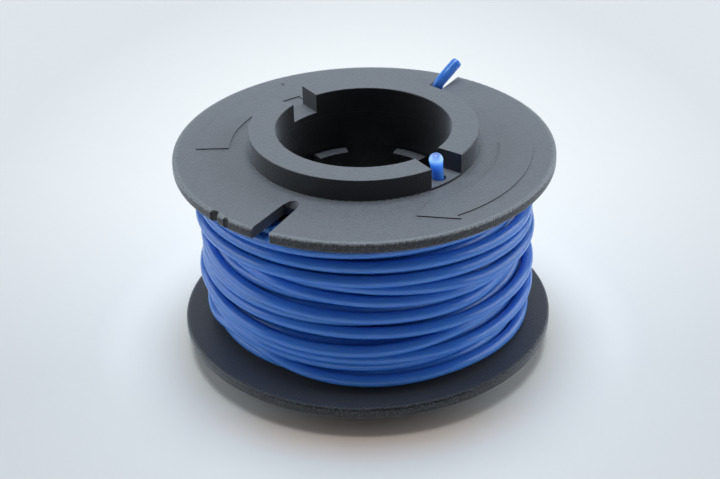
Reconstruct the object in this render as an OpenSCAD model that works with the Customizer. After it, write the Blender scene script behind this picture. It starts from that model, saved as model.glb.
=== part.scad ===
// Trimmer line spool: a drum between two flanges, wound with round plastic line.
// The spool stands on its lower collar with its axis along Z, and every angle
// is counted anticlockwise from +X as seen from above.

/* [Flanges] */
// Diameter of both flanges
flange_d = 54; // [50:1:64]
// Thickness of a flange
flange_t = 1.6; // [1.4:0.1:2.4]
// Rounding of a flange's rim on the side of the line
rim_round = 0.45; // [0.2:0.05:0.6]
// Rounding of a flange's rim on the side of the collar
outer_rim_round = 0.35; // [0.1:0.05:0.6]
// Clear width between the flanges
winding_w = 24.4; // [16:0.2:36]
// Bore through the whole spool
bore_d = 24.7; // [20:0.1:25.4]

/* [Collars] */
// Width of the raised collar round each end of the bore
collar_w = 3.85; // [3.5:0.05:4.3]
// Height of a collar above its flange
collar_h = 3.2; // [2:0.1:5]
// Rounding of a collar's top edges
collar_round = 0.15; // [0.1:0.05:0.5]
// Fillet at the foot of a collar
foot_round = 0.15; // [0.1:0.05:0.6]

/* [Drum] */
// Wall of the drum that the line is wound on
drum_wall = 1.2; // [1:0.1:1.6]
// Width of the shoulder between the drum and the plug at each of its ends
shoulder_w = 0.55; // [0.3:0.05:0.7]
// Length of a plug, let into the underside of its flange
plug_len = 1; // [0.6:0.1:1.2]
// Radial clearance of a plug in its flange
plug_clearance = 0.02; // [0.01:0.01:0.1]
// Number of drive ribs inside the drum
rib_count = 6; // [3:1:8]
// Length of a drive rib
rib_len = 14.8; // [6:0.2:15]
// How far a drive rib stands into the bore
rib_depth = 1.6; // [0.8:0.1:2.2]
// Angle that one drive rib covers, in degrees
rib_span = 24; // [10:1:30]
// Relief of the bore's wall between the drive ribs
rib_relief = 0.2; // [0.1:0.05:0.4]
// How far the relief runs past both ends of the ribs
relief_over = 0.5; // [0.2:0.1:0.8]
// Angle of the first drive rib
rib_angle = 54.6; // [0:0.1:60]

/* [Line slots] */
// Angle of the slot that holds the free end of the line
slot_angle = 59.6; // [50:0.1:75]
// Depth of a slot, from the rim inwards
slot_depth = 8.2; // [6.5:0.1:9]
// Width of a slot at its inner end
slot_foot_w = 2.2; // [2.1:0.05:2.4]
// Width of a slot at the rim
slot_mouth_w = 2.7; // [2.5:0.05:3.2]
// Chamfer at the corners of a slot's mouth
mouth_chamfer = 0.15; // [0.1:0.05:0.6]
// Width of the sloping lead-in at a slot's inner end
lead_in_w = 0.8; // [0.3:0.1:1.2]

/* [Collar gaps] */
// Angle of the middle of the gap that has no hole in it
gap_angle = 133.7; // [125:0.1:140]
// Angle that a gap in the collar covers, in degrees
gap_span = 20.7; // [16:0.1:28]
// Height of a gap's floor above the flange
gap_floor = 0.35; // [0.1:0.05:0.8]

/* [Winding arrows] */
// Distance of an arrow's middle line from the rim
arrow_inset = 5.6; // [4.6:0.1:6]
// Width of the curved shaft of an arrow
shaft_w = 4.6; // [3:0.1:5]
// Width of the head of an arrow
head_w = 6.6; // [5.4:0.1:6.8]
// Angle from the start of an arrow's shaft to its tip, in degrees
arrow_span = 72; // [50:1:80]
// Angle that the head alone covers, in degrees
head_span = 12; // [8:1:16]
// How far an arrow stands up from the flange
arrow_raise = 0.15; // [0.1:0.05:0.4]

/* [Line] */
// Diameter of the line
line_d = 1.65; // [1.5:0.05:1.7]
// How far a flange's rim reaches past the outer layer of turns
rim_reach = 3.15; // [2.6:0.05:4.5]
// Least free gap between neighbouring turns of the outer layer
turn_gap = 0.5; // [0.45:0.05:0.8]
// Free gap between the outer layer and each flange
end_gap = 0.3; // [0.2:0.05:0.5]
// Clearance of the wound line to the drum and the flanges
wound_clearance = 0.05; // [0.02:0.01:0.2]
// Height of the anchored end of the line above the flange
anchor_h = 4; // [3:0.1:6]
// Extra diameter of the hole that the anchored end comes through
anchor_play = 0.3; // [0.2:0.05:0.5]

/* [Hidden] */
$fn = 96;

// A little more than nothing, so that a cut passes through a face.
cut = 0.1;
body_colour = [0.23, 0.24, 0.27];
line_colour = [0.16, 0.38, 0.85];

flange_r = flange_d / 2;
bore_r = bore_d / 2;
collar_r = bore_r + collar_w;
drum_r = bore_r + drum_wall;
plug_r = drum_r - shoulder_w;
arrow_r = flange_r - arrow_inset;
line_r = line_d / 2;
lower_face_z = collar_h + flange_t;
upper_flange_z = lower_face_z + winding_w;
upper_face_z = upper_flange_z + flange_t;
body_h = upper_face_z + collar_h;

// The two nicks in the rim, left where the moulding was broken from its sprue:
// the angle of each one, and its radius.
nick_angles = [222.4, 227.4];
nick_radii = [0.75, 0.45];

// A slot is a wedge with a round inner end.
slot_end_r = flange_r - slot_depth + slot_foot_w / 2;
slot_angles = [slot_angle, slot_angle + 180];
lead_in_side = 0.15;

// The anchored end stands close beside the drum, in the second gap.
anchor_r = drum_r + line_r + anchor_play / 2;
anchor_angle = gap_angle + 180;
anchor_hole_r = (line_d + anchor_play) / 2;

// The outer layer is one helix, wound clockwise from the lower flange up to
// the slot. It has as many whole turns as fit, and a tenth of a turn more.
turns_r = flange_r - rim_reach - line_r;
first_z = lower_face_z + end_gap + line_r;
last_z = upper_flange_z - end_gap - line_r;
ring_step = 15;
rings_per_turn = 360 / ring_step;
part_turn = 0.1;
turn_count = floor((last_z - first_z) / (line_d + turn_gap) - part_turn) + part_turn;
tube_sides = 6;

// The helix stops short of the slot, runs straight for one line diameter, and
// hands over to the free end at this distance from the middle of the slot.
free_start = 2.6;
turns_end = slot_angle + (free_start + line_d) / turns_r * 180 / PI;
turns_start = turns_end + 360 * turn_count;

// The start of the outer layer dips into the inner layers: a straight stretch
// one line diameter long, then a bend of this radius out to the turns.
dip_bend = 1.8;
dip_steps = 6;
dip_floor = turns_r - dip_bend - line_d;
dip_clearance = 0.35;

// The inner layers end this far under the outer turns.
layer_gap = 0.3;
layers_r = turns_r - line_r - layer_gap;

// The free end's route, from under the flange up through the slot: each point
// is its distance outwards from the middle of the turns, its distance clockwise
// from the middle of the slot, and its height above the flange's underside.
free_route = [
    [-0.10, -1.75, -1.12],
    [-0.15, -1.00, -0.95],
    [-0.25, -0.42, -0.35],
    [-0.40, -0.12, 0.50],
    [-0.60, 0.08, 1.40],
    [-0.55, 0.35, 2.20],
    [0.25, 0.80, 3.00],
    [1.45, 1.25, 3.80],
    [2.70, 1.70, 4.60]];
free_lead_l = 0.4;
free_steps = 3;
free_sides = 8;

// ---------------------------------------------------------------- helpers

// Unit vectors outwards, and clockwise round the axis, at an angle.
function out(a) = [cos(a), sin(a), 0];
function clockwise(a) = [sin(a), -cos(a), 0];
function up(z) = [0, 0, z];
function unit(v) = v / norm(v);

// Direction of a path of points at its i-th point.
function path_way(path, i) =
    unit(path[min(i + 1, len(path) - 1)] - path[max(i - 1, 0)]);

// One sideways vector for each point of a level path, and of a path that rises
// but stays square to the direction given.
function level_sides(path) =
    [for (i = [0 : len(path) - 1]) unit(cross(up(1), path_way(path, i)))];
function rising_sides(path, aside) =
    [for (i = [0 : len(path) - 1])
        let (way = path_way(path, i))
        unit(aside - (aside * way) * way)];

// Smooth curve through a list of points, without its first and last stretches.
function curve_point(a, b, c, d, t) =
    (2 * b + (c - a) * t + (2 * a - 5 * b + 4 * c - d) * t * t
        + (3 * b - a - 3 * c + d) * t * t * t) / 2;
function curve(p, steps) =
    [for (i = [1 : len(p) - 2], k = [0 : steps - 1])
        curve_point(p[i - 1], p[i], p[i + 1], p[min(i + 2, len(p) - 1)], k / steps),
     p[len(p) - 1]];

// A closed tube along a path, with one ring of corners at each point and flat
// ends square to the path.
module tube(path, aside, radius, sides) {
    last = len(path) - 1;
    rings = [for (i = [0 : last], k = [0 : sides - 1])
        let (around = cross(path_way(path, i), aside[i]), a = 360 * k / sides)
        path[i] + radius * (cos(a) * aside[i] + sin(a) * around)];
    skin = [for (i = [0 : last - 1], k = [0 : sides - 1])
        let (a = i * sides + k, b = i * sides + (k + 1) % sides)
        each [[a, a + sides, b], [b, a + sides, b + sides]]];
    first_cap = [for (k = [1 : sides - 2]) [0, k, k + 1]];
    last_cap = [for (k = [1 : sides - 2]) last * sides * [1, 1, 1] + [0, k + 1, k]];
    polyhedron(rings, concat(skin, first_cap, last_cap), convexity = 10);
}

// A ring, or part of one, with a rectangular section.
module sector(from, span, inner_r, outer_r, low_z, high_z) {
    rotate([0, 0, from])
        rotate_extrude(angle = span)
            translate([inner_r, low_z])
                square([outer_r - inner_r, high_z - low_z]);
}

// ------------------------------------------------------------ spool body

// Section of a flange and its collar, standing on the flange's inner face.
module flange_section() {
    collar_top = flange_t + collar_h;
    difference() {
        union() {
            translate([bore_r, 0])
                square([flange_r - rim_round - bore_r, flange_t]);
            translate([bore_r, rim_round])
                square([flange_r - bore_r, flange_t - rim_round - outer_rim_round]);
            translate([bore_r, rim_round])
                square([flange_r - outer_rim_round - bore_r, flange_t - rim_round]);
            translate([flange_r - rim_round, rim_round])
                circle(rim_round);
            translate([flange_r - outer_rim_round, flange_t - outer_rim_round])
                circle(outer_rim_round);
            translate([bore_r, 0])
                square([collar_w, collar_top - collar_round]);
            translate([bore_r + collar_round, 0])
                square([collar_w - 2 * collar_round, collar_top]);
            for (r = [bore_r + collar_round, collar_r - collar_round])
                translate([r, collar_top - collar_round])
                    circle(collar_round);
            foot_fillet();
        }
        translate([0, -cut])
            square([plug_r + plug_clearance, plug_len + plug_clearance + cut]);
    }
}

module foot_fillet() {
    difference() {
        translate([collar_r - cut, flange_t - cut])
            square(foot_round + cut);
        translate([collar_r + foot_round, flange_t + foot_round])
            circle(foot_round);
    }
}

module flange() {
    rotate_extrude()
        flange_section();
}

// A slot lies along +X here, open at the rim, and is cut right through.
module line_slot() {
    foot = slot_foot_w / 2;
    mouth = slot_mouth_w / 2;
    past_rim = flange_r + cut;
    translate([0, 0, -cut])
        linear_extrude(flange_t + 2 * cut)
            union() {
                translate([slot_end_r, 0])
                    circle(foot);
                polygon([
                    [slot_end_r, -foot],
                    [flange_r - mouth_chamfer, -mouth],
                    [past_rim, -mouth - mouth_chamfer - cut],
                    [past_rim, mouth + mouth_chamfer + cut],
                    [flange_r - mouth_chamfer, mouth],
                    [slot_end_r, foot]]);
            }
    lead_in();
}

// The inner end of a slot slopes up at 45 degrees, as a round groove a little
// narrower than the slot.
module lead_in() {
    slope = 45;
    groove_r = slot_foot_w / 2 - lead_in_side;
    groove_l = 2 * slot_foot_w;
    translate([slot_end_r - slot_foot_w / 2 + groove_r * cos(slope), 0,
               flange_t - lead_in_w + groove_r * sin(slope)])
        rotate([0, -slope, 0])
            translate([0, 0, -groove_r])
                cylinder(h = groove_l, r = groove_r);
}

// A gap leaves a low floor between the ends of the collar.
module collar_gap(a) {
    above = flange_t + collar_h + cut;
    from = a - gap_span / 2;
    sector(from, gap_span, bore_r - cut, collar_r, flange_t + gap_floor, above);
    sector(from, gap_span, collar_r, collar_r + 2 * foot_round, flange_t, above);
}

// A raised arrow that points clockwise, with its tail at the angle given. Its
// shaft runs a little way into its head.
module winding_arrow(tail) {
    half_w = shaft_w / 2;
    half_head = head_w / 2;
    neck = tail - arrow_span + head_span;
    into_head = 2;
    sector(neck - into_head, arrow_span - head_span + into_head,
           arrow_r - half_w, arrow_r + half_w, flange_t - cut, flange_t + arrow_raise);
    translate([0, 0, flange_t - cut])
        linear_extrude(cut + arrow_raise)
            polygon([for (p = [out(neck) * (arrow_r - half_head),
                               out(neck) * (arrow_r + half_head),
                               out(tail - arrow_span) * arrow_r])
                [p.x, p.y]]);
}

module anchor_hole() {
    translate(out(anchor_angle) * anchor_r - up(cut))
        cylinder(h = flange_t + collar_h, r = anchor_hole_r);
}

module rim_nicks() {
    for (i = [0 : len(nick_angles) - 1])
        translate(out(nick_angles[i]) * flange_r - up(cut))
            cylinder(h = flange_t + 2 * cut, r = nick_radii[i]);
}

module upper_flange() {
    color(body_colour)
        translate([0, 0, upper_flange_z])
            difference() {
                union() {
                    flange();
                    for (tail = [0, 180])
                        winding_arrow(tail);
                }
                for (a = slot_angles)
                    rotate([0, 0, a])
                        line_slot();
                for (a = [gap_angle, gap_angle + 180])
                    collar_gap(a);
                anchor_hole();
                rim_nicks();
            }
}

module lower_flange() {
    color(body_colour)
        translate([0, 0, lower_face_z])
            mirror([0, 0, 1])
                flange();
}

// The drum is a plain tube with a plug at each end and ribs in its bore.
module drum() {
    rib_z = (body_h - rib_len) / 2;
    color(body_colour)
        union() {
            difference() {
                union() {
                    translate([0, 0, lower_face_z])
                        cylinder(h = winding_w, r = drum_r);
                    translate([0, 0, lower_face_z - plug_len])
                        cylinder(h = winding_w + 2 * plug_len, r = plug_r);
                }
                translate([0, 0, lower_face_z - plug_len - cut])
                    cylinder(h = winding_w + 2 * (plug_len + cut), r = bore_r);
                translate([0, 0, rib_z - relief_over])
                    cylinder(h = rib_len + 2 * relief_over, r = bore_r + rib_relief);
            }
            for (i = [0 : rib_count - 1])
                sector(rib_angle + i * 360 / rib_count - rib_span / 2, rib_span,
                       bore_r - rib_depth, (bore_r + drum_r) / 2, rib_z, rib_z + rib_len);
        }
}

// ------------------------------------------------------------------ line

// All layers but the outer one, as one plain ring round the drum, with a
// pocket where the start of the outer layer comes out of them.
module line_inner_layers() {
    low_z = lower_face_z + wound_clearance;
    high_z = upper_flange_z - wound_clearance;
    pocket_low = dip_bend - line_r - 2 * dip_clearance;
    pocket_w = line_d + 3 * dip_clearance;
    pocket_h = line_d + 2 * dip_clearance;
    color(line_colour)
        difference() {
            translate([0, 0, low_z])
                cylinder(h = high_z - low_z, r = layers_r);
            translate([0, 0, low_z - cut])
                cylinder(h = high_z - low_z + 2 * cut, r = drum_r + wound_clearance);
            rotate([0, 0, turns_start])
                translate([dip_floor - wound_clearance, pocket_low,
                           first_z - line_r - dip_clearance])
                    cube([layers_r, pocket_w, pocket_h]);
        }
}

// Centres of the outer layer's rings: the dip out of the inner layers, the
// helix, and a straight stretch towards the free end.
dip_middle = out(turns_start) * (turns_r - dip_bend) + up(first_z);
dip = [for (i = [0 : dip_steps - 1])
    let (a = 90 * i / dip_steps)
    dip_middle + dip_bend * (sin(a) * out(turns_start) - cos(a) * clockwise(turns_start))];
ring_count = ceil(turn_count * rings_per_turn);
helix = [for (i = [0 : ring_count])
    let (share = i / ring_count)
    out(turns_start - 360 * turn_count * share) * turns_r
        + up(first_z + share * (last_z - first_z))];
helix_end = helix[ring_count] + line_d * clockwise(turns_end);
turns_path = concat([dip[0] - line_d * out(turns_start)], dip, helix, [helix_end]);

module line_outer_turns() {
    color(line_colour)
        tube(turns_path, level_sides(turns_path), line_r, tube_sides);
}

// Least free gap between the helix and its own next turn, ring against ring.
self_gap = min([for (i = [0 : ring_count], step = [-1 : 1])
    let (j = i + rings_per_turn + step)
    if (j <= ring_count) norm(helix[i] - helix[j])]) - line_d;
echo(turns = turn_count, least_gap_between_turns = self_gap);

// The free end meets the outer turns face to face, and runs on to its cut tip.
free_lead = helix_end + free_lead_l * clockwise(turns_end);
free_points = concat(
    [helix_end, free_lead],
    [for (p = free_route)
        out(slot_angle) * (turns_r + p.x) + clockwise(slot_angle) * p.y
            + up(upper_flange_z + p.z)]);
free_path = concat([helix_end], curve(free_points, free_steps));

module line_free_end() {
    color(line_colour)
        tube(free_path, rising_sides(free_path, out(slot_angle)), line_r, free_sides);
}

// The anchored end stands on the inner layers and comes up through its hole.
module line_anchor_end() {
    foot_z = upper_flange_z - wound_clearance;
    bevel = line_d / 10;
    color(line_colour)
        translate(out(anchor_angle) * anchor_r + up(foot_z)) {
            cylinder(h = upper_face_z + anchor_h - bevel - foot_z, r = line_r);
            translate([0, 0, upper_face_z + anchor_h - bevel - foot_z])
                cylinder(h = bevel, r1 = line_r, r2 = line_r - bevel);
        }
}

drum();
upper_flange();
lower_flange();
line_inner_layers();
line_outer_turns();
line_free_end();
line_anchor_end();
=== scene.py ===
# %% [markdown]
# # A trimmer line spool
# The spool is two black flanges on a hollow drum, wound with blue plastic line.
# The model it starts from already holds every rigid part at its true size and
# place, so nothing is built twice. This lesson lays the line as a winder would,
# turn upon turn, and gives each part its finish. Everything is in metres, and
# the spool's axis is Z.

# %% Load the frame
import math

import bpy
import numpy as np
from mathutils import Matrix, Vector


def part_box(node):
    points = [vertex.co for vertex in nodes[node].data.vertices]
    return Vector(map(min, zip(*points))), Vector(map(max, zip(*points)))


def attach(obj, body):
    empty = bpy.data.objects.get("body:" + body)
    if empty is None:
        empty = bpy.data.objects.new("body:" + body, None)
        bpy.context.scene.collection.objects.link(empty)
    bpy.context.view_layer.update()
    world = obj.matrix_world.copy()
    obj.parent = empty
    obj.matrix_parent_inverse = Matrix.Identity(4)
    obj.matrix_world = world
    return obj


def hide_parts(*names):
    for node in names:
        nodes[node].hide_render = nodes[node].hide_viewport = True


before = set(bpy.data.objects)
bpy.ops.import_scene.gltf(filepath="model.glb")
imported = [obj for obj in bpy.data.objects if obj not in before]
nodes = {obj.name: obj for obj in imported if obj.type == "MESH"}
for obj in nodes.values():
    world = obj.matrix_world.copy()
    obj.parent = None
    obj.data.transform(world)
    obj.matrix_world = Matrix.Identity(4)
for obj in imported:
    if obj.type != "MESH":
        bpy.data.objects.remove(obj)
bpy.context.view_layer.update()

# %% [markdown]
# ## The camera
# A spool this small is looked at from a hand's length away, a little above its
# upper flange, through a longish lens. The lens keeps the circles of the two
# flanges nearly alike in size. The camera leans by a degree and a half. Three
# angles could say all that, but a place, a point to aim at and a roll are
# easier to change, so the camera's axes are worked out from them.

# %% Aim the camera
camera_place = Vector((0.0, -0.1926, 0.1298))
camera_target = Vector((-0.00089, 0.0, 0.01544))
camera_roll = math.radians(-1.480)
camera_data = bpy.data.cameras.new("camera")
camera_data.lens = 76.615
camera_data.sensor_width = 36.0
camera_data.clip_start = 0.01
camera = bpy.data.objects.new("camera", camera_data)
bpy.context.scene.collection.objects.link(camera)
line_of_sight = (camera_target - camera_place).normalized()
right = line_of_sight.cross(Vector((0, 0, 1))).normalized()
up = right.cross(line_of_sight)
right_rolled = math.cos(camera_roll) * right + math.sin(camera_roll) * up
up_rolled = math.cos(camera_roll) * up - math.sin(camera_roll) * right
turn = Matrix((right_rolled, up_rolled, -line_of_sight)).transposed()
camera.matrix_world = Matrix.Translation(camera_place) @ turn.to_4x4()
bpy.context.scene.camera = camera
print("camera", round(camera_place.length, 4), "m from the spool's foot")

# %% [markdown]
# ## A way to write finishes
# A finish is a graph of nodes. Written out node by node it hides its idea, so
# a small class wraps an output and lets sums be written as sums, and one method
# adds any other node from its type, its settings and its inputs.

# %% Wire
class Wire:
    """One output of a node. Sums and products of wires and numbers add nodes."""

    def __init__(self, finish, socket):
        self.finish = finish
        self.socket = socket

    def reckon(self, how, first, second):
        return self.finish.add("ShaderNodeMath", {"operation": how}, {0: first, 1: second})

    def __add__(self, other):
        return self.reckon("ADD", self, other)

    def __radd__(self, other):
        return self.reckon("ADD", other, self)

    def __rsub__(self, other):
        return self.reckon("SUBTRACT", other, self)

    def __mul__(self, other):
        return self.reckon("MULTIPLY", self, other)

    def __rmul__(self, other):
        return self.reckon("MULTIPLY", other, self)


# %% Finish
class Finish:
    """A material whose nodes are added one at a time."""

    def __init__(self, name):
        self.material = bpy.data.materials.new(name)
        self.material.use_nodes = True
        self.tree = self.material.node_tree
        self.tree.nodes.clear()

    def add(self, kind, settings=None, inputs=None, output=0):
        node = self.tree.nodes.new(kind)
        for setting, value in (settings or {}).items():
            if setting == "stops":
                ramp = node.color_ramp
                while len(ramp.elements) < len(value):
                    ramp.elements.new(0.5)
                for element, (place, colour) in zip(ramp.elements, value):
                    element.position = place
                    element.color = colour
            else:
                setattr(node, setting, value)
        for socket, value in (inputs or {}).items():
            if isinstance(value, Wire):
                self.tree.links.new(value.socket, node.inputs[socket])
            else:
                node.inputs[socket].default_value = value
        return Wire(self, node.outputs[output]) if len(node.outputs) else None

    def ramp(self, value, zero_at, one_at, low=0.0):
        """Rises evenly from low to 1 while the value goes from one bound to the other."""
        bounds = {"Value": value, "From Min": zero_at, "From Max": one_at, "To Min": low}
        return self.add("ShaderNodeMapRange", inputs=bounds)

    def mix(self, factor, first, second):
        """A colour between two colours."""
        return self.add(
            "ShaderNodeMix", {"data_type": "RGBA"}, {0: factor, 6: first, 7: second}, output=2
        )


# %% [markdown]
# ## The table
# The spool stands on a sheet of white card that fills the view. Daylight falls
# off over a card, so it is brightest behind the spool and a shade darker
# towards the edges. More lamps could do that, but they would change the spool
# as well. So this light and shade are painted into the card's colour, which
# changes softly over its coordinates: with the distance from a place behind the
# spool, painted light beside the foot that lifts the shade there, and a painted
# warm shade close in front of the foot, for the warm light the room throws back.

# %% Sheet of card
card_size = 1.6
card_mesh = bpy.data.meshes.new("card")
half = card_size / 2
card_mesh.from_pydata(
    [(-half, -half, 0), (half, -half, 0), (half, half, 0), (-half, half, 0)],
    [],
    [(0, 1, 2, 3)],
)
card = bpy.data.objects.new("card", card_mesh)
bpy.context.scene.collection.objects.link(card)
print("card", card_size, "m square")

# %% Colour of the card
# Painted light: brightest near a place behind the spool, darker further off.
brightest = (0.975, 0.975, 0.965, 1)
far_off = (0.765, 0.772, 0.785, 1)
# Painted light beside the foot, lifting the shade at the spool's sides.
painted_light_beside_foot = (1.0, 1.0, 0.99, 1)
# Painted warm shade, close in front of the foot.
painted_warm_shade = (0.93, 0.73, 0.61, 1)
palest_place = (0.0, 0.043, 0.0)
painted_falloff_range = (0.036, 0.103)
beside_range, beside_depths = (0.041, 0.031), (-0.030, -0.008)
front_range, front_depths = (0.033, 0.026), (-0.019, -0.0275)
paper = Finish("white card")
spot = paper.add("ShaderNodeTexCoord", output="Object")
stretched = paper.add(
    "ShaderNodeVectorMath", {"operation": "MULTIPLY"}, {0: spot, 1: (1.5, 1.0, 1.0)}
)
from_middle = paper.add(
    "ShaderNodeVectorMath",
    {"operation": "DISTANCE"},
    {0: stretched, 1: palest_place},
    output="Value",
)
depth = paper.add("ShaderNodeSeparateXYZ", inputs={0: spot}, output="Y")
around = paper.add("ShaderNodeVectorMath", {"operation": "LENGTH"}, {0: spot}, output="Value")
painted_falloff = paper.ramp(from_middle, *painted_falloff_range)
near_sides = paper.ramp(around, *beside_range)
beside = paper.ramp(depth, *beside_depths)
near_foot = paper.ramp(around, *front_range)
in_front = paper.ramp(depth, *front_depths)
# Painted light falling off away from the place behind the spool.
lit_colour = paper.mix(painted_falloff, brightest, far_off)
# Painted light beside the foot, where the spool's sides throw shade.
painted_side_light_colour = paper.mix(near_sides * beside, lit_colour, painted_light_beside_foot)
# Painted warm shade in the shadow in front of the foot.
card_colour = paper.mix(near_foot * in_front, painted_side_light_colour, painted_warm_shade)
card_shader = paper.add(
    "ShaderNodeBsdfPrincipled",
    inputs={"Base Color": card_colour, "Roughness": 0.9, "Specular IOR Level": 0.2},
)
paper.add("ShaderNodeOutputMaterial", inputs={"Surface": card_shader})
card_mesh.materials.append(paper.material)
print("the card is darkest from", round(painted_falloff_range[1] * 1000), "mm off its palest place")

# %% [markdown]
# ## The light
# One bright sky all round would be the quickest light, but it reaches under
# everything and leaves no shade. Here a compact lamp hangs almost straight
# above the spool, so that the upper flange shades the winding and the lower
# flange, and the shadow on the card is short. Wide soft lamps behind and at
# both sides light the turns from the edges of the view, and a faint sky fills
# the rest. The light is level, so a colour comes out about as it is written.

# %% A soft lamp
def soft_lamp(name, place, aim, width, height, radiance, colour):
    """A flat lamp of that size, turned to face a point. Returns its power."""
    data = bpy.data.lights.new(name, "AREA")
    data.shape = "RECTANGLE"
    data.size = width
    data.size_y = height
    data.energy = radiance * math.pi * width * height
    data.color = colour
    lamp = bpy.data.objects.new(name, data)
    bpy.context.scene.collection.objects.link(lamp)
    lamp.location = place
    away = Vector(place) - Vector(aim)
    lamp.rotation_euler = away.to_track_quat("Z", "Y").to_euler()
    return data.energy


# %% The lamps
spool_middle = (0, 0, 0.017)
daylight = (0.90, 0.96, 1.0)
lamps = (
    ("high lamp", (0, 0.07, 0.72), 0.42, 0.42, 6.7),
    ("back lamp", (0, 0.55, 0.30), 1.00, 0.45, 0.5),
    ("left lamp", (-0.62, 0.12, 0.24), 0.80, 0.45, 2.0),
    ("right lamp", (0.62, 0.12, 0.24), 0.80, 0.45, 2.3),
)
for name, place, width, height, radiance in lamps:
    power = soft_lamp(name, place, spool_middle, width, height, radiance, daylight)
    print(name, round(power, 2), "W")

# %% Sky
sky_strength = 0.03
world = bpy.data.worlds.new("pale sky")
bpy.context.scene.world = world
world.use_nodes = True
sky = world.node_tree.nodes["Background"]
sky.inputs["Color"].default_value = (0.93, 0.97, 1.0, 1)
sky.inputs["Strength"].default_value = sky_strength
bpy.context.scene.view_settings.view_transform = "Standard"
print("sky at", sky_strength)

# %% [markdown]
# ## Black moulded plastic
# The flanges and the drum are black plastic from a spark-eroded mould, so the
# skin is covered with fine pits. Pits cut into the mesh would need millions of
# faces, so noise bends the surface at the size of the pits instead. Wider,
# weaker noise makes the gloss uneven, as flow in the mould does. A pitted skin
# greys where light grazes it, which is what sheen is for. One finish serves
# all three parts.

# %% Pits and gloss
pit_scale, flow_scale, dust_scale = 4400.0, 160.0, 1900.0
pit_depth = 0.00007
plastic = Finish("black spark-eroded plastic")
spot = plastic.add("ShaderNodeTexCoord", output="Object")
pits = plastic.add(
    "ShaderNodeTexNoise",
    inputs={"Vector": spot, "Scale": pit_scale, "Detail": 1.0, "Roughness": 0.5},
)
flow = plastic.add(
    "ShaderNodeTexNoise", inputs={"Vector": spot, "Scale": flow_scale, "Detail": 3.0}
)
dust = plastic.add(
    "ShaderNodeTexNoise", inputs={"Vector": spot, "Scale": dust_scale, "Detail": 1.0}
)
speck = plastic.ramp(pits, 0.36, 0.64)
glint_specks = plastic.ramp(pits, 0.50, 0.62)
plastic_gloss = 0.26 + 0.08 * flow + 0.10 * dust + 0.12 * speck
pitted_skin = plastic.add(
    "ShaderNodeBump", inputs={"Height": pits, "Strength": 1.0, "Distance": pit_depth}
)
print("pits up to", round(pit_depth * 1000, 2), "mm deep")

# %% [markdown]
# ## Painted sheen and painted rim highlight
# Up-facing faces get a pale grey painted into their colour: a painted sheen of
# the lamps above. It is weaker low down, where the upper flange keeps them in
# shade, which is painted shade. The rim's upper edge gets a painted highlight in
# specks, and its side painted glints. Both could be painted by hand. They follow
# from the shape alone, though: the way the surface faces, its height, and its
# distance from the axis. So a few ramps place them.

# %% Where the painted sheen lies
black = (0.014, 0.012, 0.012, 1)
sheen_grey = (0.166, 0.178, 0.201, 1)
deepest_shade_height, no_shade_height = 0.002, 0.028
normal = plastic.add("ShaderNodeNewGeometry", output="Normal")
faces_up = plastic.add("ShaderNodeSeparateXYZ", inputs={0: normal}, output="Z")
height = plastic.add("ShaderNodeSeparateXYZ", inputs={0: spot}, output="Z")
# Painted sheen: pale grey on faces that look up.
upward_sheen = plastic.ramp(faces_up, 0.5, 0.95)
# Painted shade: the painted sheen is weaker low down, under the upper flange.
sheen_by_height = plastic.ramp(height, deepest_shade_height, no_shade_height, low=0.15)
painted_sheen = upward_sheen * sheen_by_height * (0.8 + 0.4 * speck)
# Prints the height above which the painted sheen is full.
print("the film is full above", no_shade_height * 1000, "mm")

# %% Where the rim's painted highlight lies
# Painted highlight along the rim's upper edge, and painted glints on its side.
highlight_grey = (0.24, 0.257, 0.28, 1)
flange_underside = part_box("upper_flange")[0][2]
flange_thickness = 0.0016
flange_top = flange_underside + flange_thickness
flange_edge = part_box("upper_flange")[1][0]
highlight_starts, highlight_is_full = flange_top - 0.00038, flange_top - 0.00018
flat = plastic.add(
    "ShaderNodeVectorMath", {"operation": "MULTIPLY"}, {0: spot, 1: (1.0, 1.0, 0.0)}
)
from_axis = plastic.add(
    "ShaderNodeVectorMath", {"operation": "LENGTH"}, {0: flat}, output="Value"
)
rim = plastic.ramp(from_axis, flange_edge - 0.0008, flange_edge - 0.0003)
edge = plastic.ramp(height, highlight_starts, highlight_is_full)
# Painted highlight in specks on the edge, painted glints below it.
glinting = rim * (edge * (0.35 + 0.9 * speck) + (1 - edge) * 0.24 * glint_specks)
print("the rim is worn from", round(highlight_starts * 1000, 2), "mm up")

# %% The finished plastic
# Black, with the painted sheen on faces that look up and the painted highlight on the rim.
tint = plastic.mix(glinting, plastic.mix(painted_sheen, black, sheen_grey), highlight_grey)
plastic_shader = plastic.add(
    "ShaderNodeBsdfPrincipled",
    inputs={
        "Base Color": tint,
        "Roughness": plastic_gloss,
        "IOR": 1.5,
        "Specular Tint": (0.84, 0.93, 1.0, 1),
        "Sheen Weight": 0.55,
        "Sheen Roughness": 0.38,
        "Sheen Tint": (0.80, 0.88, 1.0, 1),
        "Normal": pitted_skin,
    },
)
plastic.add("ShaderNodeOutputMaterial", inputs={"Surface": plastic_shader})
for name in ("drum", "upper_flange", "lower_flange"):
    nodes[name].data.materials.clear()
    nodes[name].data.materials.append(plastic.material)
    print(name, "takes the black plastic")

# %% [markdown]
# ## Blue line
# Trimmer line is nylon, coloured right through and a little milky. A plain blue
# paint would turn black in the grooves between turns. Nylon doesn't, because
# light goes a short way into it, and subsurface scattering does the same. The
# line leaves the die smooth, so each turn mirrors the pale card as a soft line
# along its lower half. Faint noise scuffs it.

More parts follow.
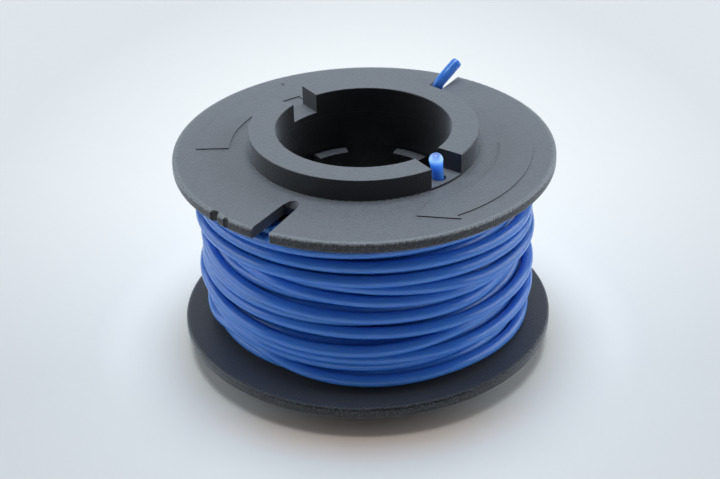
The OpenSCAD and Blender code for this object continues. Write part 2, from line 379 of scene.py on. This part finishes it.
# %% Blue nylon
nylon_radius = (0.3, 0.55, 1.0)
nylon = Finish("blue nylon line")
spot = nylon.add("ShaderNodeTexCoord", output="Object")
milk = nylon.add("ShaderNodeTexNoise", inputs={"Vector": spot, "Scale": 220.0, "Detail": 2.0})
scuff = nylon.add("ShaderNodeTexNoise", inputs={"Vector": spot, "Scale": 2400.0, "Detail": 2.0})
blue = nylon.mix(milk, (0.062, 0.236, 0.70, 1), (0.079, 0.271, 0.78, 1))
nylon_gloss = 0.15 + 0.08 * scuff
scuffed_skin = nylon.add(
    "ShaderNodeBump", inputs={"Height": scuff, "Strength": 0.15, "Distance": 0.00004}
)
nylon_shader = nylon.add(
    "ShaderNodeBsdfPrincipled",
    inputs={
        "Base Color": blue,
        "Roughness": nylon_gloss,
        "IOR": 1.5,
        "Subsurface Weight": 0.8,
        "Subsurface Radius": nylon_radius,
        "Subsurface Scale": 0.0012,
        "Normal": scuffed_skin,
    },
)
nylon.add("ShaderNodeOutputMaterial", inputs={"Surface": nylon_shader})
print("finishes so far:", [m.name for m in bpy.data.materials])

# %% [markdown]
# ## Where each turn lies
# The winder lays one long line, clockwise, from the lower flange up. It isn't
# laid evenly: turns crowd together in places and leave wide grooves in others.
# A plain helix would look machine-made. So the list holds the height of each
# turn's middle, in millimetres, at eleven places along the front, given as
# angles about the axis. Between them the line runs straight, and a moving
# average then bends it as gently as stiff line bends.

# %% Heights of the turns
line_d = 0.00165
line_r = line_d / 2
turns_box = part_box("line_outer_turns")
turns_r = turns_box[1][0] - line_r
front_places = (345, 330, 315, 300, 285, 270, 255, 240, 225, 210, 195)
front_heights = (
    (5.7, 6.0, 6.45, 6.75, 6.5, 6.45, 6.75, 7.4, 8.5, 9.0, 6.9),
    (8.9, 9.25, 9.4, 9.3, 8.95, 8.85, 8.95, 9.2, 9.65, 10.2, 10.3),
    (10.0, 10.2, 10.3, 10.4, 10.4, 10.35, 10.4, 10.6, 11.15, 11.75, 11.9),
    (12.5, 12.95, 12.85, 12.5, 12.05, 11.8, 11.8, 12.0, 12.45, 12.95, 13.4),
    (13.6, 14.0, 14.15, 14.25, 14.35, 14.55, 14.8, 14.95, 14.9, 15.0, 15.25),
    (17.9, 17.1, 16.3, 16.35, 16.6, 16.8, 17.05, 17.35, 17.8, 18.4, 19.1),
    (18.3, 18.3, 18.3, 18.6, 19.0, 19.45, 19.9, 20.35, 20.8, 21.2, 21.3),
    (18.9, 19.2, 19.6, 20.3, 20.9, 21.45, 21.9, 22.2, 22.3, 22.2, 22.0),
    (20.7, 21.4, 21.85, 22.25, 22.65, 22.9, 23.05, 23.1, 23.0, 22.8, 22.6),
    (22.55, 23.4, 23.95, 24.4, 24.7, 24.85, 24.9, 24.9, 24.85, 24.7, 24.4),
    (26.2, 26.6, 27.0, 27.3, 27.3, 27.15, 26.95, 26.75, 26.55, 26.4, 26.5),
)
slot_angle = 59.6
leaves_before_slot = 1.75e-3
free_start_angle = slot_angle + math.degrees(leaves_before_slot / turns_r)
line_start_angle = 110.0
steps_per_turn = 120
print(len(front_heights), "turns, of radius", round(turns_r * 1000, 2), "mm")

# %% Heights all along the line
# A knot says how many degrees of line are laid, and the height there in millimetres.
knots = [(0.0, 5.95), (100.0, 6.0)]
for turn_number, heights in enumerate(front_heights):
    for place, height in zip(front_places, heights):
        run = line_start_angle - place + 360 * (turn_number + 1)
        knots.append((run, height))
last_run = line_start_angle - free_start_angle + 360 * len(front_heights)
knots += [(last_run - 30, 27.75), (last_run, 28.08)]
runs = np.arange(0.0, last_run, 360 / steps_per_turn)
laid = np.interp(runs, [k[0] for k in knots], [k[1] for k in knots]) * 1e-3


def relax(values, spread):
    """Moving average with a bell-shaped weight, spread in steps; the ends stay."""
    reach = 3 * spread
    bell = np.exp(-0.5 * (np.arange(-reach, reach + 1) / spread) ** 2)
    before = 2 * values[0] - values[reach:0:-1]
    after = 2 * values[-1] - values[-2 : -reach - 2 : -1]
    padded = np.concatenate([before, values, after])
    return np.convolve(padded, bell / bell.sum(), mode="valid")


laid = relax(laid, 3)
print("outer layer:", round(runs[-1] / 360, 2), "turns")

# %% [markdown]
# ## How far out each turn lies
# Where two turns are closer together than the line is thick, the later one has
# climbed on the earlier one. A rope simulation would find that too, but slowly.
# Here each pair of neighbours is pushed apart, inwards and outwards, until they
# only touch, and all are drawn back to the layer's own radius meanwhile, as the
# pull of the winder does.

# %% Let the turns rest on each other
def rest_on_neighbours(heights, radius, least, most):
    """Radius of every point of the line, so that neighbouring turns only touch."""
    passes, pull_back, later_climbs, earlier_sinks = 160, 0.08, 0.45, 0.35
    out = np.full(len(heights), radius)
    for _ in range(passes):
        out += pull_back * (radius - out)
        for apart in (1, 2):
            shift = apart * steps_per_turn
            rise = heights[shift:] - heights[:-shift]
            need = np.sqrt(np.clip(line_d**2 - rise**2, 0, None))
            lack = np.clip(need - (out[shift:] - out[:-shift]), 0, None)
            lack = np.where(need > 0, lack, 0)
            out[shift:] += lack * later_climbs
            out[:-shift] -= lack * earlier_sinks
        out = np.clip(relax(out, 3), least, most)
    return out


deepest, proudest = turns_r - 0.0013, turns_r + 0.0005
reach_out = rest_on_neighbours(laid, turns_r, deepest, proudest)
print("the turns' middles lie", (reach_out.min() * 1e3).round(2), "mm from the axis at least")
print("and", (reach_out.max() * 1e3).round(2), "mm at most")

# %% [markdown]
# ## The free end
# At the top the line leaves its layer, goes up through the slot in the upper
# flange, and ends in the air, leaning outwards. The turns come from a list of
# heights, but this end goes its own way, so its route is a short list of
# points: how far out from the layer, how far clockwise of the slot's middle,
# and how high above the flange's underside, all in millimetres.

# %% Route of the free end
free_route = (
    (-0.10, -1.75, -1.12),
    (-0.15, -1.00, -0.95),
    (-0.25, -0.42, -0.35),
    (-0.40, -0.12, 0.50),
    (-0.60, 0.08, 1.40),
    (-0.55, 0.35, 2.20),
    (0.25, 0.80, 3.00),
    (1.45, 1.25, 3.80),
    (2.70, 1.70, 4.60),
)
print("underside of the upper flange at", round(flange_underside * 1000, 2), "mm")


# %% A curve through the route
def at(radius, angle, height):
    """Point at that distance from the axis, angle in degrees, and height."""
    a = math.radians(angle)
    return Vector((radius * math.cos(a), radius * math.sin(a), height))


def smooth_through(points, parts):
    """A smooth curve through the points, with that many parts to each stretch."""
    ends = [2 * points[0] - points[1]] + points + [2 * points[-1] - points[-2]]
    curve = []
    for i in range(1, len(ends) - 2):
        a, b, c, d = ends[i - 1 : i + 3]
        for k in range(parts):
            t = k / parts
            square = 2 * a - 5 * b + 4 * c - d
            cube = 3 * b - a - 3 * c + d
            curve.append(0.5 * (2 * b + (c - a) * t + square * t**2 + cube * t**3))
    return curve + [points[-1]]


outwards = at(1, slot_angle, 0)
clockwise = Vector((outwards.y, -outwards.x, 0))
slot_middle = turns_r * outwards + Vector((0, 0, flange_underside))
free_points = [
    slot_middle + (o * outwards + c * clockwise) * 1e-3 + Vector((0, 0, h * 1e-3))
    for o, c, h in free_route
]
print("the free end stands", round((free_points[-1].z - flange_top) * 1000, 1), "mm proud")

# %% [markdown]
# ## Line from a path
# Every length of line here is a path with a round section. A curve with a
# bevel would do for one of them, but a small Geometry Nodes tree does it for
# all: it sweeps a circle along the path, closes both ends and gives the
# finish, so the same tree serves the turns, the free end and the short stub.
# An attribute called thickness narrows the section where an end is rounded.

# %% The sweeping tree
def sweeping_tree():
    """Path of edges in, closed tube out."""
    tree = bpy.data.node_groups.new("sweep line along a path", "GeometryNodeTree")
    face = tree.interface
    face.new_socket("Path", in_out="INPUT", socket_type="NodeSocketGeometry")
    face.new_socket("Line radius", in_out="INPUT", socket_type="NodeSocketFloat")
    face.new_socket("Sides", in_out="INPUT", socket_type="NodeSocketInt")
    face.new_socket("Finish", in_out="INPUT", socket_type="NodeSocketMaterial")
    face.new_socket("Line", in_out="OUTPUT", socket_type="NodeSocketGeometry")
    new, link = tree.nodes.new, tree.links.new
    given, made = new("NodeGroupInput"), new("NodeGroupOutput")
    path = new("GeometryNodeMeshToCurve")
    thickness = new("GeometryNodeInputNamedAttribute")
    thickness.data_type = "FLOAT"
    thickness.inputs["Name"].default_value = "thickness"
    section = new("GeometryNodeCurvePrimitiveCircle")
    sweep = new("GeometryNodeCurveToMesh")
    sweep.inputs["Fill Caps"].default_value = True
    smooth = new("GeometryNodeSetShadeSmooth")
    real = new("GeometryNodeRealizeInstances")
    finish = new("GeometryNodeSetMaterial")
    link(given.outputs["Path"], path.inputs[0])
    link(given.outputs["Line radius"], section.inputs["Radius"])
    link(given.outputs["Sides"], section.inputs["Resolution"])
    link(section.outputs[0], sweep.inputs["Profile Curve"])
    link(path.outputs[0], sweep.inputs["Curve"])
    link(thickness.outputs["Attribute"], sweep.inputs["Scale"])
    link(sweep.outputs[0], smooth.inputs[0])
    link(smooth.outputs[0], real.inputs[0])
    link(real.outputs[0], finish.inputs["Geometry"])
    link(given.outputs["Finish"], finish.inputs["Material"])
    link(finish.outputs[0], made.inputs[0])
    return tree


line_tree = sweeping_tree()
print("sweeping tree:", len(line_tree.nodes), "nodes")


# %% From a tree to a plain mesh
def sockets_of(tree):
    """Identifier of every input of a tree, by its name."""
    return {s.name: s.identifier for s in tree.interface.items_tree if s.in_out == "INPUT"}


def made_plain(name, source, tree, values):
    """Runs a tree on a mesh and keeps the result as an object with a plain mesh."""
    carrier = bpy.data.objects.new(name + "_path", source)
    bpy.context.scene.collection.objects.link(carrier)
    modifier = carrier.modifiers.new("make", "NODES")
    modifier.node_group = tree
    names = sockets_of(tree)
    for key, value in values.items():
        modifier[names[key]] = value
    carrier.update_tag()
    bpy.context.view_layer.update()
    graph = bpy.context.evaluated_depsgraph_get()
    mesh = bpy.data.meshes.new_from_object(carrier.evaluated_get(graph))
    bpy.data.objects.remove(carrier)
    mesh.name = name
    piece = bpy.data.objects.new(name, mesh)
    bpy.context.scene.collection.objects.link(piece)
    print(name, len(mesh.vertices), "points,", len(mesh.polygons), "faces")
    return piece


def path_mesh(name, points, thickness):
    """The points joined by edges, each with its thickness."""
    mesh = bpy.data.meshes.new(name)
    mesh.from_pydata(points, [(i, i + 1) for i in range(len(points) - 1)], [])
    mesh.attributes.new("thickness", "FLOAT", "POINT").data.foreach_set("value", thickness)
    return mesh


# %% [markdown]
# ## The wound line
# The turns and the free end are one length of line on the real spool, so they
# are one path and one piece here. The first turn starts by diving out from
# the layer below. The last steps of the turns make way for the free end's
# curve, so that the bend between them is smooth.

# %% Lay the outer turns and the free end
turn_points = [
    at(float(r), line_start_angle - float(run), float(z))
    for run, r, z in zip(runs, reach_out, laid)
]
diving_steps = 14
for i in range(diving_steps):
    sink = 0.5 + 0.5 * math.cos(math.pi * i / diving_steps)
    flat = Vector((turn_points[i].x, turn_points[i].y, 0)).normalized()
    turn_points[i] -= flat * line_d * sink
steps_dropped = 3
line_points = turn_points[:-steps_dropped] + smooth_through(free_points, 5)
line_thickness = [1.0] * len(line_points)
line_thickness[-1] = 0.9
outer_line = made_plain(
    "wound_line",
    path_mesh("wound_line_path", line_points, line_thickness),
    line_tree,
    {"Line radius": line_r, "Sides": 14, "Finish": nylon.material},
)
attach(outer_line, "root")
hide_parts("line_outer_turns", "line_free_end")

# %% [markdown]
# ## The layers beneath
# Through the wide grooves the next layer down shows as dark blue ridges. All
# seven layers could be wound, but only one can be seen. It is an even helix, so
# a spiral made inside the node tree is enough, and a plain core behind it
# closes the last chinks.

# %% The helix
def helix_of_line(tree, given):
    """The even layer: a spiral, lifted to its foot and swept with a round section."""
    new, link = tree.nodes.new, tree.links.new
    helix = new("GeometryNodeCurveSpiral")
    helix.inputs["Resolution"].default_value = 72
    helix.inputs["Reverse"].default_value = True
    for end in ("Start Radius", "End Radius"):
        link(given.outputs["Layer radius"], helix.inputs[end])
    link(given.outputs["Layer height"], helix.inputs["Height"])
    link(given.outputs["Turns"], helix.inputs["Rotations"])
    foot = new("ShaderNodeCombineXYZ")
    link(given.outputs["Foot"], foot.inputs["Z"])
    lift = new("GeometryNodeTransform")
    link(helix.outputs[0], lift.inputs["Geometry"])
    link(foot.outputs[0], lift.inputs["Translation"])
    section = new("GeometryNodeCurvePrimitiveCircle")
    section.inputs["Resolution"].default_value = 10
    link(given.outputs["Line radius"], section.inputs["Radius"])
    sweep = new("GeometryNodeCurveToMesh")
    sweep.inputs["Fill Caps"].default_value = True
    link(lift.outputs[0], sweep.inputs["Curve"])
    link(section.outputs[0], sweep.inputs["Profile Curve"])
    smooth = new("GeometryNodeSetShadeSmooth")
    link(sweep.outputs[0], smooth.inputs[0])
    return smooth.outputs[0]


# %% The core
def closed_core(tree, given):
    """A thin upright wall swept round a ring, halfway up the layer."""
    new, link = tree.nodes.new, tree.links.new
    ring = new("GeometryNodeCurvePrimitiveCircle")
    ring.inputs["Resolution"].default_value = 96
    link(given.outputs["Core radius"], ring.inputs["Radius"])
    wall = new("GeometryNodeCurvePrimitiveQuadrilateral")
    wall.inputs["Width"].default_value = 0.001
    link(given.outputs["Layer height"], wall.inputs["Height"])
    core = new("GeometryNodeCurveToMesh")
    link(ring.outputs[0], core.inputs["Curve"])
    link(wall.outputs[0], core.inputs["Profile Curve"])
    halfway = new("ShaderNodeMath")
    halfway.operation = "MULTIPLY_ADD"
    halfway.inputs[1].default_value = 0.5
    link(given.outputs["Layer height"], halfway.inputs[0])
    link(given.outputs["Foot"], halfway.inputs[2])
    middle = new("ShaderNodeCombineXYZ")
    link(halfway.outputs[0], middle.inputs["Z"])
    lift = new("GeometryNodeTransform")
    link(core.outputs[0], lift.inputs["Geometry"])
    link(middle.outputs[0], lift.inputs["Translation"])
    return lift.outputs[0]


# %% The tree for the inner layers
def inner_tree():
    """One even layer of line round a closed core. The mesh that comes in isn't used."""
    tree = bpy.data.node_groups.new("inner layers of line", "GeometryNodeTree")
    face = tree.interface
    face.new_socket("Unused", in_out="INPUT", socket_type="NodeSocketGeometry")
    for label in ("Layer radius", "Layer height", "Foot", "Turns", "Line radius", "Core radius"):
        face.new_socket(label, in_out="INPUT", socket_type="NodeSocketFloat")
    face.new_socket("Finish", in_out="INPUT", socket_type="NodeSocketMaterial")
    face.new_socket("Layers", in_out="OUTPUT", socket_type="NodeSocketGeometry")
    new, link = tree.nodes.new, tree.links.new
    given, made = new("NodeGroupInput"), new("NodeGroupOutput")
    both = new("GeometryNodeJoinGeometry")
    real = new("GeometryNodeRealizeInstances")
    finish = new("GeometryNodeSetMaterial")
    link(helix_of_line(tree, given), both.inputs[0])
    link(closed_core(tree, given), both.inputs[0])
    link(both.outputs[0], real.inputs[0])
    link(real.outputs[0], finish.inputs["Geometry"])
    link(given.outputs["Finish"], finish.inputs["Material"])
    link(finish.outputs[0], made.inputs[0])
    return tree


# %% Inner layers
inner_lo, inner_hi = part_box("line_inner_layers")
layer_pitch = 0.00174
layer_height = inner_hi[2] - inner_lo[2] - line_d
layer_r = turns_r - 0.0013
core_r = turns_r - 0.0026
inner_line = made_plain(
    "inner_line",
    bpy.data.meshes.new("nothing"),
    inner_tree(),
    {
        "Layer radius": layer_r,
        "Layer height": layer_height,
        "Foot": inner_lo[2] + line_r,
        "Turns": layer_height / layer_pitch,
        "Line radius": line_r,
        "Core radius": core_r,
        "Finish": nylon.material,
    },
)
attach(inner_line, "root")
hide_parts("line_inner_layers")

# %% [markdown]
# ## A slipped turn
# On the left one turn of the layer beneath has slipped outwards and shows
# between two turns of the outer layer. It could be worked into the long path,
# but it is only part of a turn. So it is swept by itself in the same way, and
# both of its ends dive back into the layers.

# %% Slipped turn
slipped_places = (292, 270, 255, 240, 225, 210, 190, 150, 110)
slipped_heights = (15.9, 16.0, 16.2, 16.4, 16.55, 16.65, 16.7, 16.6, 16.4)
depth_places = (292, 255, 230, 170, 110)
depths = (1.7e-3, 0.5e-3, 0.1e-3, 0.1e-3, 1.7e-3)
slipped_angles = np.arange(slipped_places[0], slipped_places[-1], -3)
slipped_z = np.interp(-slipped_angles, [-a for a in slipped_places], slipped_heights)
slipped_in = np.interp(-slipped_angles, [-a for a in depth_places], depths)
slipped_points = [
    at(turns_r - float(i), float(a), float(z) * 1e-3)
    for a, i, z in zip(slipped_angles, relax(slipped_in, 3), relax(slipped_z, 3))
]
slipped_turn = made_plain(
    "slipped_turn",
    path_mesh("slipped_turn_path", slipped_points, [1.0] * len(slipped_points)),
    line_tree,
    {"Line radius": line_r, "Sides": 14, "Finish": nylon.material},
)
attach(slipped_turn, "root")

# %% [markdown]
# ## The anchored end
# The other end of the line comes up beside the collar through a small hole.
# It was melted to a round head so that it can't slip back. The head is clear
# enough that light goes right through it, so it is brightest a little below
# its top. Glass in nylon's colour would do that slowly and with noise. Two
# ramps over the height paint that light at once: one paints the colour brighter
# a little below the top, and one paints a weak glow there.

# %% Melted nylon
melted = Finish("melted blue nylon")
spot = melted.add("ShaderNodeTexCoord", output="Object")
stub_lo, stub_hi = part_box("line_anchor_end")
clear_depth = 0.0034
height = melted.add("ShaderNodeSeparateXYZ", inputs={0: spot}, output="Z")
below_top = melted.ramp(height, stub_hi[2], stub_hi[2] - clear_depth)
cloud = melted.add("ShaderNodeTexNoise", inputs={"Vector": spot, "Scale": 900.0, "Detail": 2.0})
# Nylon blue, painted brighter a little below the top: painted light through the head.
stub_colour_and_light = melted.add(
    "ShaderNodeValToRGB",
    {
        "stops": (
            (0.00, (0.17, 0.24, 0.52, 1)),
            (0.08, (0.24, 0.36, 0.72, 1)),
            (0.24, (0.34, 0.56, 0.96, 1)),
            (0.42, (0.12, 0.36, 0.88, 1)),
            (1.00, (0.07, 0.24, 0.70, 1)),
        )
    },
    {"Fac": below_top},
)
# Painted glow of the light passing through the head.
painted_glow = melted.add(
    "ShaderNodeValToRGB",
    {
        "stops": (
            (0.00, (0.03, 0.04, 0.10, 1)),
            (0.08, (0.12, 0.22, 0.60, 1)),
            (0.22, (0.32, 0.58, 1.00, 1)),
            (0.42, (0.04, 0.22, 0.85, 1)),
            (0.55, (0.01, 0.08, 0.40, 1)),
            (0.80, (0.00, 0.02, 0.10, 1)),
        )
    },
    {"Fac": below_top},
)
melted_shader = melted.add(
    "ShaderNodeBsdfPrincipled",
    inputs={
        "Base Color": stub_colour_and_light,
        "Roughness": 0.16 + 0.1 * cloud,
        "IOR": 1.5,
        "Emission Color": painted_glow,
        "Emission Strength": 0.65,
        "Subsurface Weight": 1.0,
        "Subsurface Radius": nylon_radius,
        "Subsurface Scale": 0.003,
    },
)
melted.add("ShaderNodeOutputMaterial", inputs={"Surface": melted_shader})
print("the head is clear for", clear_depth * 1000, "mm down")

# %% [markdown]
# ## The stub's shape
# A ball on a rod would show a crease where they meet. A straight path and the
# thickness attribute are all that a rounded stub needs: the section widens to
# the melted head and then closes round over the top. Above the edge of its
# hole the stub leans a little.

# %% Stub
stub_shift, stub_lean = -0.0001, -0.00042
stub_foot = Vector(((stub_lo[0] + stub_hi[0]) / 2, (stub_lo[1] + stub_hi[1]) / 2, stub_lo[2]))
stub_foot.x += stub_shift
stub_top = stub_foot + Vector((stub_lean, 0.0, stub_hi[2] - stub_lo[2]))
hole_edge = 0.35
head_height, head_width = 0.0010, 1.18
neck = 1 - head_height / (stub_top.z - stub_foot.z)
stub_steps = [(0.0, 1.0), (0.2, 1.0), (hole_edge, 1.0), (0.55, 1.0), (0.7, 1.06)]
stub_steps.append((neck, head_width))
round_steps = 8
for k in range(1, round_steps + 1):
    t = math.pi / 2 * k / round_steps
    width = head_width * max(math.cos(t) ** 0.9, 0.03)
    stub_steps.append((neck + (1 - neck) * math.sin(t), width))
stub_points = []
for along, _ in stub_steps:
    lean = max(along - hole_edge, 0) / (1 - hole_edge)
    stub_points.append(
        Vector((
            stub_foot.x + (stub_top.x - stub_foot.x) * lean,
            stub_foot.y,
            stub_foot.z + (stub_top.z - stub_foot.z) * along,
        ))
    )
stub = made_plain(
    "anchored_end",
    path_mesh("stub_path", stub_points, [t for _, t in stub_steps]),
    line_tree,
    {"Line radius": line_r, "Sides": 24, "Finish": melted.material},
)
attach(stub, "root")
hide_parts("line_anchor_end")
